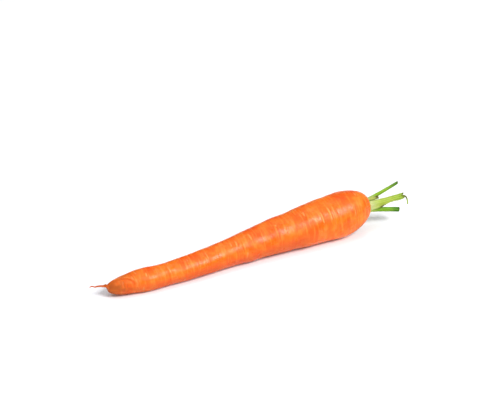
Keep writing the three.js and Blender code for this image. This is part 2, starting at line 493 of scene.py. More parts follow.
@dataclass(frozen=True)
class Feel:
    """How a surface shines, how light scatters in it, and its finest relief.

    Attributes:
        roughness: Its roughness where it is damp and where it is dry.
        specular: How much it reflects.
        damp_scale: Fineness of its damper and drier patches along each axis.
        damp_contrast: How sharply those end.
        damp_span: From where to where in the patches it goes from damp to dry.
        worn: Name of the mesh's mask that makes it rougher.
        worn_roughness: How much rougher.
        stretch: Fineness of its fibres along each axis.
        pores: Fineness of its pores.
        bump: Strength of the fibres and pores.
        bump_height: Their height in metres.
        scatter: How much light scatters in it.
        scatter_colours: How far red, green and blue light goes, as shares.
        scatter_reach: How far it goes in metres.
    """

    roughness: tuple[float, float]
    specular: float
    damp_scale: tuple[float, float, float]
    damp_contrast: float
    damp_span: tuple[float, float]
    worn: str
    worn_roughness: float
    stretch: tuple[float, float, float]
    pores: float
    bump: float
    bump_height: float
    scatter: float
    scatter_colours: tuple[float, float, float]
    scatter_reach: float

    def inputs(self, bench: Bench) -> dict[str, Feed]:
        """Work out what feeds the shader.

        Args:
            bench: What the material is being built with.

        Returns:
            What feeds each of the shader's inputs, by name.
        """
        graph = bench.graph
        damp = bench.patches(self.damp_scale, self.damp_contrast)
        worn = graph.math("MULTIPLY", graph.value_of(self.worn), self.worn_roughness)
        relief = {"Place": bench.place, "Stretch": self.stretch, "Pores": self.pores}
        height = graph.group(bench.effects.relief, **relief)
        bump = graph.add("Bump", {"Strength": self.bump, "Distance": self.bump_height, "Height": height})
        return {
            "Roughness": graph.math("ADD", graph.remap(damp, *self.damp_span, *self.roughness), worn),
            "Normal": bump.outputs["Normal"],
            "Specular IOR Level": self.specular,
            "Subsurface Weight": self.scatter,
            "Subsurface Radius": self.scatter_colours,
            "Subsurface Scale": self.scatter_reach,
        }


@dataclass(frozen=True)
class Matte:
    """A dull even surface.

    Attributes:
        roughness: Its roughness.
        specular: How much it reflects.
    """

    roughness: float
    specular: float

    def inputs(self, bench: Bench) -> dict[str, Feed]:
        """What feeds the shader's inputs, by name."""
        return {"Roughness": self.roughness, "Specular IOR Level": self.specular}


@dataclass(frozen=True)
class Finish:
    """One finish of the carrot: a material with one Principled shader.

    Attributes:
        name: Name of the material.
        base: The colour below all the others.
        layers: The colours over it, in order.
        feel: How it shines and feels.
    """

    name: str
    base: str
    layers: tuple[Layer, ...]
    feel: Feel | Matte

    def build(self, effects: EffectGroups) -> bpy.types.Material:
        """Make the material.

        Args:
            effects: The shared node groups.

        Returns:
            The finished material.
        """
        material = bpy.data.materials.new(self.name)
        material.use_nodes = True
        graph = Graph(material.node_tree)
        shader = graph.add("BsdfPrincipled")
        graph.add("OutputMaterial", {"Surface": shader.outputs["BSDF"]})
        bench = Bench(graph, effects, graph.add("TexCoord").outputs["Object"])
        colour = tint(self.base)
        for layer in self.layers:
            colour = layer.over(colour, bench)
        for name, source in {"Base Color": colour, **self.feel.inputs(bench)}.items():
            graph.feed(shader.inputs[name], source)
        return material


@dataclass(frozen=True)
class RootSkin(Finish):
    """Damp orange skin with rings and pale scars, dull at the tip and brownish round the crown.

    Its layers are the lighter orange, faint paler patches, specks, thin streaks across the root, the scars
    of side roots with a painted highlight on the tip's fold, painted shade in creases, beside scars, in the
    fold, along the underside and along the top, the dry tip and tail, the brown along the underside and low
    on the shoulder, the pale tissue between the leaf stalks, and the corky scars round them.
    """

    name: str = "root_skin"
    base: str = "#ee580c"
    layers: tuple[Layer, ...] = (
        Layer("#fa7a11", scale=(85.0, 75.0, 75.0), contrast=3.0),
        Layer("#fb9a34", scale=(150.0, 120.0, 120.0), contrast=1.9, span=(0.35, 0.95), share=0.55),
        Layer("#ee580c", scale=(520.0, 430.0, 430.0), contrast=3.2, share=0.4),
        Layer("#fa9038", scale=(650.0, 90.0, 90.0), contrast=3.0, span=(0.5, 0.95), share=0.5),
        # Pale scars of side roots; on the lip of the tip's fold this pale colour is a painted highlight.
        Layer("#f69a50", "scar", grain=900.0),
        # Painted shade: darker in creases, beside scars, in the tip's fold, along the underside and along
        # the top.
        Layer("#c04410", "painted_shade", share=0.7),
        Layer("#ac5216", "dull", grain=260.0),
        # Browner along the underside and low on the shoulder.
        Layer("#8a5628", "low_brown", grain=420.0),
        Layer("#c6cf8c", "core", grain=700.0),
        Layer("#7c5a2a", "corky", grain=900.0),
    )
    feel: Feel = Feel(
        roughness=(0.25, 0.5),
        specular=0.24,
        damp_scale=(130.0, 110.0, 110.0),
        damp_contrast=2.6,
        damp_span=(0.15, 0.85),
        worn="dull",
        worn_roughness=0.2,
        stretch=(1300.0, 260.0, 260.0),
        pores=2600.0,
        bump=0.5,
        bump_height=0.00035,
        scatter=0.22,
        scatter_colours=(1.0, 0.28, 0.08),
        scatter_reach=0.003,
    )


@dataclass(frozen=True)
class StalkSkin(Finish):
    """Ribbed leaf stalk: whitish at its foot, green above, brown where it is cut or torn.

    CUT is the brown of the dried cut.
    """

    CUT = "#3c2a10"
    feel: Feel = Feel(
        roughness=(0.4, 0.56),
        specular=0.14,
        damp_scale=(260.0, 500.0, 500.0),
        damp_contrast=1.6,
        damp_span=(0.0, 1.0),
        worn="cut",
        worn_roughness=0.3,
        stretch=(300.0, 1900.0, 1900.0),
        pores=3500.0,
        bump=0.3,
        bump_height=0.00025,
        scatter=0.2,
        scatter_colours=(0.5, 0.9, 0.15),
        scatter_reach=0.0012,
    )

    @classmethod
    def dyed(cls, name: str, foot: str, middle: str, top: str, rib: str) -> "StalkSkin":
        """Make a stalk's skin from its colours.

        Args:
            name: Name of the material.
            foot: Colour just above the crown.
            middle: Colour of most of the stalk.
            top: Colour near the cut.
            rib: Colour of the raised ribs.

        Returns:
            The skin.
        """
        uneven = {"mask": "along", "scale": (260.0, 500.0, 500.0), "contrast": 1.6, "unevenness": 0.2}
        layers = (
            Layer(middle, span=(0.04, 0.42), **uneven),
            Layer(top, span=(0.62, 0.98), **uneven),
            Layer(rib, "rib", share=0.45),
            Layer(cls.CUT, "cut", grain=1500.0),
        )
        return cls(name, foot, layers)


@dataclass(frozen=True)
class PaperFloor(Finish):
    """Plain pale paper under the carrot, with barely lighter soft patches."""

    name: str = "paper_floor"
    base: str = "#f6f7fc"
    layers: tuple[Layer, ...] = (Layer("#fafbff", scale=(400.0, 400.0, 400.0), contrast=2.0),)
    feel: Matte = Matte(roughness=0.9, specular=0.1)


class StalkFinish(Enum):
    """The finishes that a leaf stalk can have."""

    FRESH_GREEN = StalkSkin.dyed("stalk_fresh_green", "#b2bc78", "#7ea61c", "#2f6804", "#9cb848")
    DEEP_GREEN = StalkSkin.dyed("stalk_deep_green", "#b2c05c", "#6c9e18", "#2e6c06", "#8eb236")
    PALE_GREEN = StalkSkin.dyed("stalk_pale_green", "#bec688", "#9cb23c", "#84a424", "#c0cc80")
    DRY_STUB = StalkSkin.dyed("stalk_dry_stub", "#babe84", "#a0aa4c", "#6c6c20", "#bec488")


# --- The carrot ------------------------------------------------------------------------------------


@dataclass(frozen=True)
class Strand:
    """A torn strand that curls over from a stalk's end.

    Attributes:
        width: Its width.
        thickness: Its thickness.
        reach: How far it reaches past the stalk.
        drop: How far its end hangs below the stalk's end.
    """

    width: float
    thickness: float
    reach: float
    drop: float


@dataclass(frozen=True)
class BrownSpot:
    """A brown spot on a leaf stalk.

    Attributes:
        along: Where its middle is, as a share of the stalk's length.
        turn: Degrees round the stalk at which its middle lies, from its side over its outer face.
        length: Its half length, as a share of the stalk's length.
        spread: Its half width, in degrees.
        depth: How brown it is, from 0 to 1.
    """

    along: float
    turn: float
    length: float
    spread: float
    depth: float


@dataclass
class LeafStalk:
    """The stub of one leaf stalk.

    CUT_RINGS says how the cut is dished: how far in each of its rings lies, as a share, and how deep.

    Attributes:
        name: Name of the plain solid that it stands for.
        slot: Name of a material slot; not used.
        finish: Which finish it has.
        foot_width: Width at the foot, round the ring.
        end_width: Width at the cut.
        foot_thickness: Thickness at the foot, across the ring.
        end_thickness: Thickness at the cut.
        length: Length along X.
        lean: How far the cut stands off the foot, backwards and upwards.
        slant: How far the cut runs out of square.
        strand: The torn strand at its end, if it has one.
        brown_spots: Brown spots on it.
        web: How far a thin web reaches from its side towards the next stalk in the ring.
        web_end: Where that web ends, as a share of the stalk's length.
        seed: Start of its random draws.
        bend: How late it leans: 1 is straight, and more bends it towards its end.
        channel: Depth of the channel in its inner face, as a share of the thickness.
        channel_width: Width of that channel, as a share of the width.
        ribs: How many ribs run along it.
        rib_height: Their height, as a share of its radius.
        wobble: How far it is out of round, as a share of its radius.
        foot_flare: How much wider its foot spreads, as a share.
        flare_length: Length over which that fades.
        brown_from: From where it is brown towards its cut, as a share of its length.
        tear: How far a torn end is frayed.
        fibres: How many loose fibres a torn stalk has.
        sides: Points round it.
        steps: Rings along it.
        sink: How deep its foot is rooted in the crown's tissue.
    """

    name: str
    slot: str
    finish: StalkFinish
    foot_width: float
    end_width: float
    foot_thickness: float
    end_thickness: float
    length: float
    lean: tuple[float, float]
    slant: float
    strand: Strand | None = None
    brown_spots: tuple[BrownSpot, ...] = ()
    web: float = 0.0
    web_end: float = 0.5
    seed: int = 1
    bend: float = 1.2
    channel: float = 0.45
    channel_width: float = 0.5
    ribs: int = 9
    rib_height: float = 0.035
    wobble: float = 0.05
    foot_flare: float = 0.14
    flare_length: float = 3.5
    brown_from: float = 0.93
    tear: float = 1.4
    fibres: int = 20
    sides: int = 56
    steps: int = 84
    sink: float = 0.5

    CUT_RINGS = ((0.05, -0.06), (0.14, -0.02), (0.32, 0.1), (0.55, 0.2), (0.8, 0.26))

    def path(self, share: np.ndarray) -> np.ndarray:
        """Points along the stalk's middle, from its foot at the origin to its cut."""
        bent = np.maximum(share, 0.0) ** self.bend
        return np.stack([self.length * share, self.lean[0] * bent, self.lean[1] * bent], -1)

    def frames(
        self, line: np.ndarray, outward: np.ndarray, level_until: float = 0.0
    ) -> tuple[np.ndarray, np.ndarray, np.ndarray]:
        """Directions at each point of a line.

        Args:
            line: Points along the line.
            outward: The direction away from the crown's middle.
            level_until: The point up to which the forward direction turns from +X into the line's own.

        Returns:
            The forward, outer and side directions at each point.
        """
        forward = unit(np.gradient(line, axis=0))
        if level_until > 0.0:
            start = smoothstep(np.arange(len(line)), 0.0, level_until)[:, None]
            forward = unit(blend(np.array([1.0, 0.0, 0.0]), forward, start))
        outer = unit(outward - forward * (forward @ outward)[:, None])
        return forward, outer, np.cross(forward, outer)

    def stem(self, shells: Shells, foot: np.ndarray, outward: np.ndarray) -> None:
        """Add the stalk itself, with its ribs, its channel and its cut or torn end.

        Args:
            shells: Where the mesh is gathered.
            foot: Where the stalk's foot is.
            outward: The direction away from the crown's middle.
        """
        share = np.linspace(-self.sink / self.length, 1.0, self.steps)
        line = self.path(share)
        forward, outer, side = self.frames(line, outward, level_until=0.2 * (self.steps - 1))
        noise = WrappedNoise(self.seed, length=1.3, cell=0.08, cells_round=7)
        around, along = np.meshgrid(angles_round(self.sides), share)
        wobble = self.wobble * noise.at(along + 0.1, around)
        rib = np.cos(self.ribs * around + 1.4 * noise.at(0.5 * along + 0.1, around))
        flare = 1.0 + self.foot_flare * (1.0 - smoothstep(along * self.length, 0.0, self.flare_length))
        width = blend(self.foot_width, self.end_width, along) * flare
        thickness = blend(self.foot_thickness, self.end_thickness, along) * flare
        across = np.cos(around)
        ragged = along + 0.04 * noise.at(6.0 * along % 1.2, around)
        webbed = 1.0 - smoothstep(ragged, 0.5 * self.web_end, self.web_end)
        hollow = self.channel * np.exp(-((across / self.channel_width) ** 2)) * (np.sin(around) < 0)
        swell = 0.97 + wobble + self.rib_height * rib
        last = smoothstep(along, self.brown_from, 1.0)
        slant = self.slant * across * smoothstep(along, 0.75, 1.0)
        if self.strand is not None:
            slant += self.tear * noise.at(np.full_like(along, 1.1), 3.0 * around) * last
        spots = (
            line[:, None]
            + side[:, None] * (across * width / 2.0 * swell)[..., None]
            + side[:, None] * (self.web * webbed * smoothstep(across, 0.3, 1.0))[..., None]
            + outer[:, None] * (np.sin(around) * (1.0 - hollow) * thickness / 2.0 * swell)[..., None]
            + forward[:, None] * slant[..., None]
        )
        spots, extra = self._close_cut(spots, forward[-1], noise)
        brown = last * (0.55 + 0.3 * noise.at(9.0 * along % 1.2, around))
        for brown_spot in self.brown_spots:
            turn = np.degrees(turn_between(around, math.radians(brown_spot.turn)))
            spot = bell(along - brown_spot.along, brown_spot.length) * bell(turn, brown_spot.spread)
            brown = np.maximum(brown, brown_spot.depth * spot)
        cut = np.concatenate([brown, extra])
        cap = np.ones_like(extra)
        shells.add(
            spots + foot,
            (spots[0].mean(0) + foot, spots[-1].mean(0) + foot),
            along=np.concatenate([along, cap]),
            rib=np.concatenate([np.clip(rib, 0.0, 1.0), 0.0 * cap]),
            cut=np.clip(cut, 0.0, 1.0),
        )

    def _close_cut(
        self, spots: np.ndarray, forward: np.ndarray, noise: WrappedNoise
    ) -> tuple[np.ndarray, np.ndarray]:
        """Turn the end inwards to a shallow dried hollow.

        Args:
            spots: The stalk's rings.
            forward: The direction that the cut faces.
            noise: What makes the cut uneven.

        Returns:
            The rings with those of the cut, and how brown the cut's rings are.
        """
        centre = spots[-1].mean(0)
        angle = angles_round(self.sides)
        rings, brown = [], []
        for inset, depth in self.CUT_RINGS:
            uneven = 0.09 * noise.at(np.full(self.sides, inset), angle * 2.0)
            ring = blend(spots[-1], centre, inset) - forward * (depth + uneven[:, None])
            rings.append(ring)
            brown.append(np.full(self.sides, 0.95 - 0.35 * smoothstep(np.array(inset), 0.1, 0.5)))
        return np.concatenate([spots, np.array(rings)]), np.array(brown)

    def curl(self, shells: Shells, foot: np.ndarray, outward: np.ndarray) -> None:
        """Add the torn strand that curls over from the stalk's end, and a few short torn fibres.

        Args:
            shells: Where the mesh is gathered.
            foot: Where the stalk's foot is.
            outward: The direction away from the crown's middle.
        """
        strand = self.strand
        end = self.path(np.array([1.0]))[0]
        lead = self.path(np.linspace(0.86, 0.995, 8))
        turn = np.linspace(0.0, math.pi / 2.0, 34)
        arc = end + np.stack(
            [strand.reach * np.sin(turn), 0.0 * turn, -strand.drop * (1.0 - np.cos(turn))], -1
        )
        line = np.concatenate([lead, arc])
        share = np.linspace(0.0, 1.0, len(line))
        width = strand.width * blend(1.5, 1.2, smoothstep(share, 0.0, 0.6))
        brown = smoothstep(share, 0.05, 0.3) * (1.0 - 0.75 * smoothstep(share, 0.55, 0.8))
        self._ribbon(shells, line + foot, outward, width, strand.thickness, brown)
        draws = np.random.default_rng(self.seed + 40)
        _, outer, side = self.frames(self.path(np.array([0.9, 0.95, 1.0])), outward)
        run = np.linspace(0.0, 1.0, 9)[:, None]
        thin, dry = 0.34 * (1.0 - 0.8 * run[:, 0]), 0.35 * run[:, 0]
        sag = np.array([0.0, 0.0, -0.5]) * run**2
        for _ in range(self.fibres):
            start = 0.97 - 0.4 * draws.random() ** 1.6
            away = draws.uniform(-0.42, 0.42) * self.end_width
            lift = 0.8 * draws.uniform(0.15, 0.5) * self.end_thickness
            reach = draws.uniform(1.2, 2.6)
            base = self.path(np.array([start]))[0] + side[0] * away + outer[0] * lift
            tip = np.array([reach, draws.uniform(-0.5, 0.5), draws.uniform(-0.4, 0.9)])
            self._ribbon(shells, base + tip * run + sag + foot, outward, thin, thickness=0.16, brown=dry)

    def _ribbon(
        self,
        shells: Shells,
        line: np.ndarray,
        outward: np.ndarray,
        width: np.ndarray,
        thickness: float,
        brown: np.ndarray,
    ) -> None:
        """Add a thin flat ribbon along a line.

        Args:
            shells: Where the mesh is gathered.
            line: Points along its middle.
            outward: The direction that its flat side faces.
            width: Its width at each point.
            thickness: Its thickness.
            brown: How dried it is at each point.
        """
        angle = angles_round(10)
        _, outer, side = self.frames(line, outward)
        across = side[:, None] * (np.cos(angle) * width[:, None] / 2.0)[..., None]
        through = outer[:, None] * (np.sin(angle)[None, :, None] * thickness / 2.0)
        rings = line[:, None] + across + through
        level = np.ones((len(line), len(angle)))
        shells.add(
            rings,
            (line[0], line[-1]),
            along=0.7 * level,
            rib=0.2 * level,
            cut=brown[:, None] * 0.75 * level,
        )

    def make(
        self, foot: np.ndarray, outward: np.ndarray, place: Vector, skin: bpy.types.Material
    ) -> bpy.types.Object:
        """Build the whole stalk and dress it.

        Args:
            foot: Where the stalk's foot is.
            outward: The direction away from the crown's middle.
            place: Where the crown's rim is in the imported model, in metres.
            skin: Its material.

        Returns:
            The finished piece.
        """
        shells = Shells("along", "rib", "cut")
        self.stem(shells, foot, outward)
        if self.strand is not None:
            self.curl(shells, foot, outward)
        piece = shells.build("leaf_" + self.name, place, skin)
        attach(piece, BODY)
        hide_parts(self.name)
        return piece


@dataclass
class Crown:
    """The leaf stalks side by side in a ring, and the dimple that they stand in.

    Attributes:
        ring: The stalks of the ring, in order round it.
        inner: The small stalk in the middle.
        dimple_depth: From the rim to the floor of the dimple.
        dimple_wall: Width of the slope between floor and rim.
        dimple_margin: From the outermost stalk, at rim height, to the foot of that slope.
        gap: Between neighbouring stalks, and from each stalk's foot to the floor.
        ring_start: Degrees from +Y towards +Z where the first stalk stands.
        ring_slack: How much longer the ring is than the stalks and gaps in it.
    """

    ring: tuple[LeafStalk, ...]
    inner: LeafStalk
    dimple_depth: float = 1.5
    dimple_wall: float = 1.3
    dimple_margin: float = 0.3
    gap: float = 0.3
    ring_start: float = 12.0
    ring_slack: float = 1.06

    def __post_init__(self) -> None:
        """Work out the radii of the ring, the dimple's floor and its rim."""
        self.places = [max(stalk.foot_width, stalk.foot_thickness) + self.gap for stalk in self.ring]
        thickest = max(stalk.foot_thickness for stalk in self.ring)
        tight = (self.inner.foot_width + thickest) / 2.0 + self.gap
        self.ring_radius = max(self.ring_slack * sum(self.places) / (2.0 * math.pi), tight)
        steepest = max(math.hypot(*stalk.lean) / stalk.length for stalk in self.ring)
        outermost = self.ring_radius + thickest / 2.0 + steepest * self.dimple_depth
        self.floor_radius = outermost + self.dimple_margin
        self.rim_radius = self.floor_radius + self.dimple_wall

    def stands(self) -> list[tuple[LeafStalk, float, float]]:
        """Place the stalks round the ring, and the inner one in the middle.

        Returns:
            Each stalk with its angle and its distance from the crown's middle.
        """
        stands = []
        walked = 0.0
        for i, stalk in enumerate(self.ring):
            walked += (self.places[i - 1] + self.places[i]) / 2.0 if i > 0 else 0.0
            angle = math.radians(self.ring_start) + 2.0 * math.pi * walked / sum(self.places)
            stands.append((stalk, angle, self.ring_radius))
        return [*stands, (self.inner, math.pi / 2.0, 0.0)]

    def near_feet(self, across: np.ndarray, up: np.ndarray) -> np.ndarray:
        """How far places on the dimple's floor are from the nearest stalk's foot.

        Args:
            across: Distances from the crown's middle along +Y.
            up: Distances from the crown's middle along +Z.

        Returns:
            The distance outside each foot's outline, below 0 inside one.
        """
        nearest = np.full(np.shape(across), np.inf)
        for stalk, angle, radius in self.stands():
            out = across * math.cos(angle) + up * math.sin(angle) - radius
            side = up * math.cos(angle) - across * math.sin(angle)
            half_width, half_thickness = stalk.foot_width / 2.0, stalk.foot_thickness / 2.0
            reach = np.hypot(side / half_width, out / half_thickness) - 1.0
            nearest = np.minimum(nearest, reach * min(half_width, half_thickness))
        return nearest

    def make(self, middle: np.ndarray, place: Vector, effects: EffectGroups) -> None:
        """Build every stalk and dress it.

        Args:
            middle: The middle of the crown's rim.
            place: Where the crown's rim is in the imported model, in metres.
            effects: The shared node groups.
        """
        skins = {finish: finish.value.build(effects) for finish in StalkFinish}
        for stalk, angle, radius in self.stands():
            outward = np.array([0.0, math.cos(angle), math.sin(angle)])
            foot = middle + radius * outward + np.array([self.gap - self.dimple_depth, 0.0, 0.0])
            piece = stalk.make(foot, outward, place, skins[stalk.finish])
            LOG.info("%s: %d faces", piece.name, len(piece.data.polygons))


@dataclass(frozen=True)
class Scar:
    """A short scar across the skin, where a side root grew.

    Attributes:
        depth: Distance of its middle below the crown's rim.
        turn: Degrees from +Y towards +Z at which its middle lies.
        length: Its length round the root.
        width: Its width along the root.
        sunk: How deep it lies.
        tilt: How much nearer the tip its end on the +Z side lies.
    """

    depth: float
    turn: float
    length: float
    width: float = 1.0
    sunk: float = 0.2
    tilt: float = 0.0


@dataclass(frozen=True)
class Fold:
    """A curved fold near the tip: painted shade in its groove, a painted highlight on the raised lip
    outside it.

    Attributes:
        depth: Depth of the oval's middle below the crown's rim.
        turn: Degrees from +Y towards +Z at which its middle lies.
        reach: How far it reaches from there towards the crown.
        climb: How far it climbs round the root.
        sunk: How deep it is.
    """

    depth: float = 184.0
    turn: float = 165.0
    reach: float = 10.5
    climb: float = 7.0
    sunk: float = 0.4


class Skin:
    """How far the skin lies inside the plain shape, and the masks that go with it."""

    def __init__(self, depth: np.ndarray, angle: np.ndarray, radius: np.ndarray) -> None:
        """Start with smooth clean skin.

        Args:
            depth: Distances below the crown's rim, for each point of the skin.
            angle: Angles round the root.
            radius: Distances from the root's middle.
        """
        self.depth, self.angle, self.radius = depth, angle, radius
        self.drop = np.zeros_like(depth)
        self.masks = {name: np.zeros_like(depth) for name in Taproot.MASKS}

    def stain(self, name: str, share: np.ndarray) -> None:
        """Raise one mask to at least the given share."""
        self.masks[name] = np.maximum(self.masks[name], share)

    def mark(self, scar: Scar) -> None:
        """Add one sunken pale line with raised lips, and painted shade along its side towards the crown.

        Args:
            scar: Where it is and how big.
        """
        turn = turn_between(self.angle, math.radians(scar.turn))
        along_scar = turn * self.radius / (0.5 * scar.length)
        across_scar = (self.depth - scar.depth - scar.tilt * along_scar) / (0.5 * scar.width)
        ends = np.exp(-(along_scar**4))
        lips = 0.45 * bell(np.abs(across_scar) - 1.7, 0.7)
        self.drop += scar.sunk * ends * (bell(across_scar, 0.8) - lips)
        self.stain("scar", ends * bell(across_scar, 1.15))
        # Painted shade along the scar's side towards the crown.
        self.stain("painted_shade", 0.7 * ends * bell(across_scar + 1.5, 0.6))

    def crumple(self, fold: Fold) -> None:
        """Add a groove with painted shade in it, and a raised lip on its outer side with a painted
        highlight.

        Args:
            fold: Where it is and how big.
        """
        above = -turn_between(self.angle, math.radians(fold.turn)) * self.radius
        nearer = fold.depth - self.depth
        oval = np.hypot(nearer / fold.reach, above / fold.climb) - 1.0
        ends = smoothstep(nearer, -5.0, 0.0) * smoothstep(above, -3.0, 1.0)
        groove, lip = oval + 0.06, oval - 0.1
        self.drop += fold.sunk * ends * (bell(groove, 0.09) - 0.8 * bell(lip, 0.09))
        # The pale colour on the lip is a painted highlight, the dark colour in the groove painted shade.
        self.stain("scar", 0.55 * ends * bell(lip + 0.01, 0.08))
        self.stain("painted_shade", 0.6 * ends * bell(groove, 0.07))

    def wrinkle(
        self, depth: float, turn: float, span: float, sunk: float, draws: np.random.Generator
    ) -> None:
        """Add one fine wrinkle that runs part of the way round, with painted shade along its bottom.

        Args:
            depth: Distance below the crown's rim.
            turn: Angle of its middle.
            span: Half the angle that it runs over.
            sunk: How deep it is.
            draws: Where its waves are drawn from.
        """
        away = turn_between(self.angle, turn)
        phase, wave = draws.uniform(0.0, 2.0 * math.pi), draws.uniform(0.2, 0.7)
        waves = wave * np.sin(2.0 * away + phase) + 0.2 * np.sin(9.0 * away + 2.0 * phase)
        middle = depth + waves
        fade = 1.0 - smoothstep(np.abs(away) / span, 0.45, 1.0)
        self.drop += sunk * fade * bell(self.depth - middle, 0.38)
        # Painted shade along the wrinkle's bottom.
        self.stain("painted_shade", 0.55 * fade * bell(self.depth - middle, 0.3))


@dataclass
class Taproot:
    """The root from its thread-like tail to the dimple in its crown, as one skin.

    Attributes:
        crown: The ring of leaf stalks, which the dimple is sized for.
        length: From the crown's rim to the blunt tip.
        shoulder_diameter: What the root narrows from.
        tip_diameter: What it narrows to before the tip rounds off.
        tip_stretch: The last length, which narrows no more.
        taper_power: Under 1 narrows sooner behind the shoulder.
        shoulder_round: Length over which the shoulder rounds over to the crown.
        tip_round: Length over which the tip rounds off.
        crown_rise: How far the crown's middle stands above the shoulder's middle.
        tip_lift: How far the last stretch lifts off the surface.
        lift_length: Length of that stretch.
        tip_drop: How far the tip's middle droops.
        rest_flat: How deep the underside is pressed flat.
        arch: How far the middle of the root lifts off the surface.
        side_bends: Sideways bend in one, two and three half waves along the root.
        oval: How far its section is an oval, as a share of the radius.
        three_sided: How far it is rounded off in three sides.
        broad_rings: Height of the broad rings, as a share of the radius.
        narrow_rings: Height of the narrow ones.
        waist: Depth of the narrow place near the tip, as a share of the radius.
        waist_from_tip: How far that is from the tip.
        waist_width: Half its width along the root.
        tail_length: Length of the tail.
        tail_root_diameter: Its diameter where it leaves the tip.
        tail_end_diameter: Its diameter at its end.
        tail_rise: How far it rises as it leaves the tip.
        tail_turn: Length over which it rises.
        tail_bend: How far its end stands off sideways.
        skin_inset: The share of the plain radius that the smooth skin keeps to.
        bulge_height: Height of the broad, the middling and the finest unevenness of the skin.
        hand_scars: The scars that show most.
        fold: The curved fold near the tip.
        scar_count: How many more scars are drawn at random.
        wrinkle_count: How many fine creases are drawn at random.
        dry_length: Length of the dry skin above the tip.
        low_brown_depth: Depth below the rim of the middle of the brown low on the shoulder.
        low_brown_width: How far that brown reaches from there.
        underside_shade_from: From where to where down the root the painted shade on the underside comes in.
        seed: Start of the random draws.
        sides: Points round the root.
        body_rings: Rings along its body.
        tail_rings: Rings along its tail.
        wall_rings: Rings down the dimple's slope.
        floor_rings: Rings over its floor.
        end_crowding: How much closer the body's rings stand at both ends than in the middle.
    """

    MASKS = ("scar", "painted_shade", "dull", "low_brown", "core", "corky")

    crown: Crown
    length: float = 190.6
    shoulder_diameter: float = 31.4
    tip_diameter: float = 14.8
    tip_stretch: float = 30.0
    taper_power: float = 0.87
    shoulder_round: float = 26.0
    tip_round: float = 25.0
    crown_rise: float = 1.0
    tip_lift: float = 1.1
    lift_length: float = 40.0
    tip_drop: float = 1.6
    rest_flat: float = 0.45
    arch: float = 0.35
    side_bends: tuple[float, ...] = (-1.5, 1.3, -0.65)
    oval: float = 0.018
    three_sided: float = 0.012
    broad_rings: float = 0.01
    narrow_rings: float = 0.008
    waist: float = 0.035
    waist_from_tip: float = 16.0
    waist_width: float = 4.5
    tail_length: float = 9.5
    tail_root_diameter: float = 1.9
    tail_end_diameter: float = 0.7
    tail_rise: float = 2.4
    tail_turn: float = 1.5
    tail_bend: float = 3.8
    skin_inset: float = 0.997
    bulge_height: tuple[float, float, float] = (0.3, 0.09, 0.04)
    hand_scars: tuple[Scar, ...] = ()
    fold: Fold = Fold()
    scar_count: int = 44
    wrinkle_count: int = 70
    dry_length: float = 38.0
    low_brown_depth: float = 8.0
    low_brown_width: float = 12.0
    underside_shade_from: tuple[float, float] = (30.0, 58.0)
    seed: int = 12
    sides: int = 160
    body_rings: int = 552
    tail_rings: int = 40
    wall_rings: int = 12
    floor_rings: int = 16
    end_crowding: float = 1.6

    def taper_radius(self, depth: np.ndarray) -> np.ndarray:
        """Radius of the plain taper at depths below the crown's rim.

        Args:
            depth: Distances below the crown's rim.

        Returns:
            The radius at each.
        """
        share = np.clip(depth / (self.length - self.tip_stretch), 0.0, 1.0)
        narrowed = (1.0 - np.cos(math.pi * share**self.taper_power)) / 2.0
        return blend(self.shoulder_diameter, self.tip_diameter, narrowed) / 2.0

    def body_radius(self, depth: np.ndarray) -> np.ndarray:
        """Radius of the body, with the shoulder and the tip rounded.

        Args:
            depth: Distances below the crown's rim.

        Returns:
            The radius at each.
        """
        rim_share = 2.0 * self.crown.rim_radius / self.shoulder_diameter
        setback = self.shoulder_round * (1.0 - math.sqrt(1.0 - rim_share**2))
        shoulder = quarter_round((depth + setback) / self.shoulder_round)
        tip = quarter_round((self.length - depth) / self.tip_round)
        return self.taper_radius(depth) * shoulder * tip

    def tail_radius(self, past: np.ndarray) -> np.ndarray:
        """Radius of the tail at distances past the tip."""
        share = np.clip(past / self.tail_length, 0.0, 1.0)
        return blend(self.tail_root_diameter, self.tail_end_diameter, np.sqrt(share)) / 2.0

    def outline(self) -> tuple[np.ndarray, np.ndarray]:
        """The outline from the tail's end to the crown's rim, with the tail flowing out of the tip.

        Returns:
            The depth and the radius of each ring.
        """
        past = self.tail_length * 0.998 * np.linspace(1.0, 0.0, self.tail_rings, endpoint=False)
        even = np.linspace(1.0, 0.0, self.body_rings)
        crowding = (1.0 - 1.0 / self.end_crowding) / (2.0 * math.pi)
        body = self.length * (even + np.sin(2.0 * math.pi * (even - 0.5)) * crowding)
        flare = 1.0 + 0.25 * np.exp(-past / 0.8)
        joined = np.cbrt(self.body_radius(body) ** 3 + (1.25 * self.tail_radius(np.array(0.0))) ** 3)
        depth = np.concatenate([self.length + past, body])
        joined = np.where(body > 0.5 * self.length, joined, 0.0)
        radius = np.concatenate([self.tail_radius(past) * flare, joined])
        return depth, np.maximum(radius, self.body_radius(depth))

    def swell(self, depth: np.ndarray, angle: np.ndarray) -> np.ndarray:
        """How much fuller or leaner the root is than its outline.

        Args:
            depth: Distances below the crown's rim.
            angle: Angles round the root.

        Returns:
            The share of the outline's radius at each place.
        """
        oval = self.oval * np.cos(2.0 * (angle - 0.5))
        three_sided = self.three_sided * np.cos(3.0 * angle + depth / 34.0)
        broad = self.broad_rings * np.sin(depth / 6.1 + 0.8 * np.sin(angle))
        narrow = self.narrow_rings * np.sin(depth / 3.7 + 1.3)
        waist = self.waist * bell(self.length - self.waist_from_tip - depth, self.waist_width)
        away_from_rim = smoothstep(depth, 0.0, 0.5 * self.shoulder_round)
        fuller = 1.0 + (oval + three_sided + broad + narrow - waist) * away_from_rim
        return np.where(depth > self.length, 1.0, fuller)

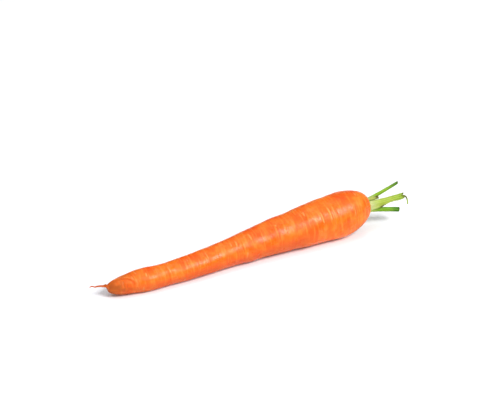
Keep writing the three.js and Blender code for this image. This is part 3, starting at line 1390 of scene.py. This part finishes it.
    def axis(self, depth: np.ndarray) -> tuple[np.ndarray, np.ndarray]:
        """The middle of the root's section.

        Args:
            depth: Distances below the crown's rim.

        Returns:
            How far it is sideways and up at each.
        """
        share = np.clip(depth / self.length, 0.0, 1.0)
        past = np.maximum(0.0, depth - self.length) / self.tail_length
        bend = sum(size * np.sin((i + 1) * math.pi * share) for i, size in enumerate(self.side_bends))
        arch = self.arch * np.sin(math.pi * share) ** 2
        crown_lift = self.crown_rise * (1.0 - smoothstep(depth, 0.0, self.shoulder_round))
        drop = self.tip_drop * smoothstep(depth, self.length - self.tip_round, self.length)
        lift = self.tip_lift * smoothstep(depth, self.length - self.lift_length, self.length)
        lift = lift + self.tail_rise * smoothstep(depth, self.length - self.tail_turn, self.length)
        height = self.taper_radius(depth) - self.rest_flat + arch + crown_lift - drop + lift
        return bend + self.tail_bend * past, height

    def middle(self) -> np.ndarray:
        """The middle of the crown's rim."""
        sideways, up = self.axis(np.array(0.0))
        return np.array([0.0, float(sideways), float(up)])

    def weather(self, depth: np.ndarray, angle: np.ndarray, radius: np.ndarray) -> Skin:
        """Give the skin its bulges, ripples, creases, scars and stains.

        Args:
            depth: Distances below the crown's rim, for each point of the skin.
            angle: Angles round the root.
            radius: Distances from the root's middle.

        Returns:
            The weathered skin.
        """
        skin = Skin(depth, angle, radius)
        draws = np.random.default_rng(self.seed)
        whole = self.length + self.tail_length + 2.5
        bulges = WrappedNoise(self.seed + 1, whole, cell=9.0, cells_round=6).at(depth, angle)
        lumps = WrappedNoise(self.seed + 2, whole, cell=4.5, cells_round=14).at(depth, angle)
        uneven = depth + 0.4 * lumps
        ripples = WrappedNoise(self.seed + 3, whole, cell=1.5, cells_round=13).at(uneven, angle)
        broad, middling, fine = self.bulge_height
        skin.drop += 0.05 - broad * bulges - middling * lumps - fine * ripples
        for _ in range(self.wrinkle_count):
            skin.wrinkle(
                depth=self.length * draws.random() ** 0.9,
                turn=draws.uniform(0.0, 2.0 * math.pi),
                span=draws.uniform(0.3, 1.3),
                sunk=draws.uniform(0.1, 0.26),
                draws=draws,
            )
        first_row, last_depth, row_share = 45.0, self.length - 6.0, 0.7
        for i in range(self.scar_count):
            # Side roots grow in four rows, a quarter turn apart.
            in_row = first_row + 90.0 * (i % 4) + draws.normal(0.0, 11.0)
            turn = in_row if draws.random() < row_share else draws.uniform(0.0, 360.0)
            skin.mark(
                Scar(
                    depth=8.0 + (last_depth - 8.0) * draws.random(),
                    turn=turn,
                    length=draws.uniform(2.0, 6.0),
                    width=draws.uniform(0.5, 1.0),
                    sunk=draws.uniform(0.08, 0.2),
                    tilt=draws.normal(0.0, 0.2),
                )
            )
        for scar in self.hand_scars:
            skin.mark(scar)
        skin.crumple(self.fold)
        self._stains(skin, bulges, lumps)
        skin.drop *= smoothstep(radius, 1.2, 5.0)
        return skin

    def _stains(self, skin: Skin, bulges: np.ndarray, lumps: np.ndarray) -> None:
        """Set where the skin is dull, brown or corky, and where shade is painted along its underside and
        top.

        Args:
            skin: The skin to stain.
            bulges: Broad noise over the skin.
            lumps: Finer noise over the skin.
        """
        lowness = -np.sin(skin.angle)
        dry = smoothstep(skin.depth + 4.0 * bulges, self.length - self.dry_length, self.length + 2.0)
        skin.stain("dull", dry * (0.68 + 0.3 * smoothstep(lumps + 0.6 * bulges, -0.7, 0.7)))
        # Browner in patches along the underside, and low on the shoulder.
        low = smoothstep(lowness + 0.15 * lumps, 0.35, 0.95)
        side = smoothstep(lowness + 0.15 * lumps, 0.1, 0.75)
        shoulder = bell(skin.depth - self.low_brown_depth, self.low_brown_width)
        patchy = 0.16 + 0.24 * smoothstep(bulges, 0.0, 0.8)
        skin.stain("low_brown", np.maximum(0.8 * side * shoulder, low * patchy))
        # Painted shade along the underside, away from the crown, and in a strip along the top.
        under = smoothstep(lowness + 0.12 * bulges, -0.45, 0.25) * smoothstep(skin.depth, *self.underside_shade_from)
        top_shade = bell(np.sin(skin.angle - math.radians(6.0)) - 1.0, 0.1)
        skin.stain("painted_shade", np.maximum(0.9 * under, 0.3 * top_shade) * (1.0 - dry))
        rim = bell(skin.radius - self.crown.rim_radius, 1.6) * (skin.depth < 6.0)
        skin.stain("corky", np.clip(rim * (0.55 + 0.5 * lumps), 0.0, 1.0))

    def dimple(self) -> tuple[np.ndarray, dict[str, np.ndarray]]:
        """The dimple in the crown, with fibrous tissue that rises round the stalks' feet.

        Returns:
            The rings from just inside the rim to near the middle, and their masks.
        """
        crown = self.crown
        wall = np.linspace(0.0, 1.0, self.wall_rings + 1)[1:]
        floor = np.linspace(1.0, 0.04, self.floor_rings + 1)[1:]
        radius = np.concatenate([crown.rim_radius - crown.dimple_wall * wall, crown.floor_radius * floor])
        sunk = np.concatenate([smoothstep(wall, 0.0, 1.0), np.ones(self.floor_rings)]) * crown.dimple_depth
        around, out = np.meshgrid(angles_round(self.sides), radius)
        across, up = out * np.cos(around), out * np.sin(around)
        fibres = WrappedNoise(self.seed + 5, length=8.0, cell=0.7, cells_round=46).at(out, around)
        clumps = WrappedNoise(self.seed + 6, length=8.0, cell=1.6, cells_round=11).at(out, around)
        reach = crown.near_feet(across, up)
        rise = 0.5 + 0.14 * fibres + 0.14 * clumps + 0.55 * bell(np.maximum(reach, 0.0), 0.55)
        inside = 1.0 - smoothstep(out, crown.floor_radius - 0.6, crown.rim_radius)
        depth = sunk[:, None] - rise * inside - 0.06 * fibres * (1.0 - inside)
        middle = self.middle()
        rings = np.stack([-depth, middle[1] + across, middle[2] + up], -1)
        corky = np.clip(0.75 * (1.0 - inside) + 0.45 * clumps + 0.25 * fibres, 0.0, 1.0)
        core = smoothstep(inside, 0.2, 0.8)
        masks = {"corky": corky * (1.0 - 0.6 * bell(np.maximum(reach, 0.0), 0.5)), "core": core}
        return rings, masks

    def make(self, effects: EffectGroups) -> tuple[bpy.types.Object, Vector]:
        """Build the root and dress it.

        Args:
            effects: The shared node groups.

        Returns:
            The finished piece, and where the crown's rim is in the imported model, in metres.
        """
        depth, radius = self.outline()
        around, deep = np.meshgrid(angles_round(self.sides), depth)
        plain = radius[:, None] * self.swell(deep, around) * self.skin_inset
        skin = self.weather(deep, around, plain)
        sideways, height = self.axis(depth)
        noise = WrappedNoise(self.seed + 8, self.tail_length + 2.0, cell=1.6, cells_round=3)
        past = np.maximum(depth - self.length, 0.0)
        waves = 0.3 * smoothstep(past, 0.0, 3.0)
        sideways = sideways + waves * noise.at(past, np.zeros_like(past))
        height = height + waves * noise.at(past, np.full_like(past, 2.0))
        low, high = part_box("taproot")
        plain_y = sideways[:, None] + plain * np.cos(around)
        shift = MM * (plain_y.min() + plain_y.max()) / 2.0
        place = Vector((high.x, (low.y + high.y) / 2.0 - shift, low.z))
        out = plain - skin.drop
        across, up = out * np.cos(around), out * np.sin(around)
        rings = np.stack([-deep, sideways[:, None] + across, np.maximum(height[:, None] + up, 0.0)], -1)
        dimple, dimple_masks = self.dimple()
        masks = {
            name: np.concatenate([skin.masks[name], dimple_masks.get(name, np.zeros(dimple.shape[:2]))])
            for name in self.MASKS
        }
        rings = self._soften_rim(np.concatenate([rings, dimple]), len(depth))
        shells = Shells(*self.MASKS)
        shells.add(rings, (rings[0].mean(0), rings[-1].mean(0)), **masks)
        piece = shells.build("carrot_root", place, RootSkin().build(effects))
        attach(piece, BODY)
        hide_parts("taproot")
        return piece, place

    def _soften_rim(self, rings: np.ndarray, rim: int) -> np.ndarray:
        """Round the edge between the shoulder and the dimple.

        Args:
            rings: All the rings in order.
            rim: Number of the first ring of the dimple.

        Returns:
            The rings with those near the rim smoothed.
        """
        rings = rings.copy()
        reach, passes = 7, 10
        near = slice(rim - reach, rim + reach)
        for _ in range(passes):
            before, after = rings[near.start - 1 : near.stop - 1], rings[near.start + 1 : near.stop + 1]
            rings[near] = 0.5 * rings[near] + 0.25 * (before + after)
        return rings


# --- The studio ------------------------------------------------------------------------------------


@dataclass(frozen=True)
class Lamp:
    """A square softbox that faces the carrot.

    Attributes:
        name: Name of the lamp.
        azimuth: Degrees round the carrot. At 0 the lamp stands towards -Y and shines along +Y.
        elevation: Degrees above the floor.
        distance: Metres from the carrot.
        size: Metres across.
        power: Watts.
    """

    name: str
    azimuth: float
    elevation: float
    distance: float
    size: float
    power: float


@dataclass
class Studio:
    """The pale floor, the soft lights and the camera.

    Attributes:
        azimuth: Degrees round the carrot at which the camera stands.
        elevation: Degrees above the floor.
        distance: Metres from the aim point to the camera.
        lens: Focal length in millimetres.
        sensor: Width of the sensor in millimetres.
        aim: The aim point from the middle of the model's box, in millimetres.
        floor_size: Metres across the floor.
        ambient: Strength of the white surroundings.
        lamps: The softboxes.
        floor_gap: Millimetres between the floor and the carrot's lowest point.
    """

    azimuth: float = -27.65
    elevation: float = 30.0
    distance: float = 0.9557
    lens: float = 105.0
    sensor: float = 36.0
    aim: tuple[float, float, float] = (4.0, 13.1, 20.4)
    floor_size: float = 6.0
    ambient: float = 0.19
    lamps: tuple[Lamp, ...] = (
        Lamp("key_softbox", 26.0, 46.0, 2.6, 1.1, 70.0),
        Lamp("left_softbox", -75.0, 50.0, 2.4, 1.5, 10.0),
        Lamp("top_softbox", 165.0, 78.0, 2.4, 2.2, 21.0),
    )
    floor_gap: float = 0.05

    def outward(self, azimuth: float, elevation: float) -> Vector:
        """The direction from the carrot to something that stands at these angles."""
        turn, tilt = math.radians(azimuth), math.radians(elevation)
        return Vector((math.sin(turn) * math.cos(tilt), -math.cos(turn) * math.cos(tilt), math.sin(tilt)))

    def face(self, thing: bpy.types.Object, target: Vector, back: Vector, distance: float) -> None:
        """Stand a lamp or a camera off a point, back along a direction, and turn it to the point."""
        turn = back.to_track_quat("Z", "Y").to_matrix().to_4x4()
        thing.matrix_world = Matrix.Translation(target + back * distance) @ turn

    def build(self, effects: EffectGroups) -> None:
        """Lay the floor, hang the lamps and set up the camera.

        Args:
            effects: The shared node groups.
        """
        scene = bpy.context.scene
        middle = (CAD_BOX[0] + CAD_BOX[1]) / 2.0
        self._floor(effects)
        world = bpy.data.worlds.new("white_surroundings")
        world.use_nodes = True
        background = world.node_tree.nodes["Background"]
        background.inputs["Color"].default_value = (1.0, 1.0, 1.0, 1.0)
        background.inputs["Strength"].default_value = self.ambient
        scene.world = world
        for lamp in self.lamps:
            light = bpy.data.lights.new(lamp.name, "AREA")
            light.shape = "SQUARE"
            light.size = lamp.size
            light.energy = lamp.power
            back = self.outward(lamp.azimuth, lamp.elevation)
            self.face(link(lamp.name, light), middle, back, lamp.distance)
        camera = bpy.data.cameras.new("camera")
        camera.lens = self.lens
        camera.sensor_width = self.sensor
        camera.clip_start = 0.01
        holder = link("camera", camera)
        target = middle + Vector(self.aim) * MM
        self.face(holder, target, self.outward(self.azimuth, self.elevation), self.distance)
        scene.camera = holder
        scene.view_settings.view_transform = "Standard"

    def _floor(self, effects: EffectGroups) -> None:
        """Lay the paper floor just under the carrot.

        Args:
            effects: The shared node groups.
        """
        half, level = self.floor_size / 2.0, CAD_BOX[0].z - self.floor_gap * MM
        corners = [(x, y, level) for x, y in ((-half, -half), (half, -half), (half, half), (-half, half))]
        mesh = bpy.data.meshes.new("floor")
        mesh.from_pydata(corners, [], [(0, 1, 2, 3)])
        mesh.materials.append(PaperFloor().build(effects))
        floor = link("floor", mesh)


# --- Everything in order ---------------------------------------------------------------------------


CLEAR_SCARS = (
    Scar(33.8, 128.0, length=7.0, width=1.5, sunk=0.3, tilt=-0.4),
    Scar(39.8, 138.0, length=9.0, width=1.3, sunk=0.3, tilt=-0.3),
    Scar(50.8, 109.0, length=4.0, width=1.0, sunk=0.2),
    Scar(71.8, 111.0, length=2.0, width=1.2, sunk=0.35),
    Scar(90.8, 112.0, length=5.6, width=1.2, sunk=0.3, tilt=-0.2),
    Scar(101.2, 118.0, length=5.0, width=1.2, sunk=0.25, tilt=0.2),
    Scar(104.8, 112.0, length=3.4, width=0.9, sunk=0.2),
)


def carrot_crown() -> Crown:
    """Give the crown its six leaf stalks.

    Returns:
        The crown.
    """
    green, pale = "green_stalk", "pale_stalk"
    upper_long = LeafStalk(
        "stalk_upper_long", green, StalkFinish.FRESH_GREEN, length=29.8, lean=(2.6, 6.4), slant=0.3, seed=3,
        foot_width=3.2, end_width=2.2, foot_thickness=3.0, end_thickness=1.9,
        brown_spots=(BrownSpot(1.0, 90.0, 0.035, 240.0, 1.0),),
    )
    short_stub = LeafStalk(
        "stalk_short_stub", pale, StalkFinish.DRY_STUB, length=10.4, lean=(-1.8, 1.2), slant=-0.2, seed=5,
        foot_width=3.0, end_width=2.5, foot_thickness=2.8, end_thickness=2.2,
        brown_spots=(BrownSpot(0.9, 70.0, 0.12, 60.0, 0.9),),
    )
    middle_torn = LeafStalk(
        "stalk_middle_torn", pale, StalkFinish.PALE_GREEN, length=25.2, lean=(-5.9, 3.7), slant=0.0, seed=8,
        foot_width=3.9, end_width=4.4, foot_thickness=3.7, end_thickness=3.4,
        foot_flare=0.2, flare_length=12.0, web=1.9, web_end=0.68,
        brown_spots=(BrownSpot(0.42, 22.0, 0.12, 30.0, 0.95),),
        strand=Strand(width=0.9, thickness=0.7, reach=4.22, drop=7.4),
    )
    lower_thick = LeafStalk(
        "stalk_lower_thick", green, StalkFinish.DEEP_GREEN, length=23.5, lean=(-5.0, -3.2), slant=0.15,
        seed=13, foot_width=3.7, end_width=5.0, foot_thickness=3.3, end_thickness=3.6,
        foot_flare=0.2, flare_length=12.0,
        brown_spots=(BrownSpot(0.36, 225.0, 0.1, 30.0, 0.9), BrownSpot(0.56, 215.0, 0.07, 18.0, 0.6)),
    )
    back = LeafStalk(
        "stalk_back", pale, StalkFinish.PALE_GREEN, length=10.5, lean=(2.4, -2.0), slant=-0.25, seed=21,
        foot_width=3.0, end_width=2.6, foot_thickness=2.6, end_thickness=2.2,
    )
    inner = LeafStalk(
        "stalk_inner", pale, StalkFinish.PALE_GREEN, length=9.0, lean=(0.9, 1.4), slant=0.2, seed=34,
        foot_width=2.0, end_width=1.4, foot_thickness=1.8, end_thickness=1.6,
    )
    return Crown(ring=(upper_long, short_stub, middle_torn, lower_thick, back), inner=inner)


def main() -> None:
    """Build the carrot and the studio."""
    logging.basicConfig(level=logging.INFO, format="%(name)s: %(message)s")
    effects = EffectGroups()
    Studio().build(effects)
    LOG.info("studio: floor, lamps and camera")
    crown = carrot_crown()
    root = Taproot(crown, hand_scars=CLEAR_SCARS)
    piece, place = root.make(effects)
    LOG.info("%s: %d faces", piece.name, len(piece.data.polygons))
    crown.make(root.middle(), place, effects)


if __name__ == "__main__":
    main()
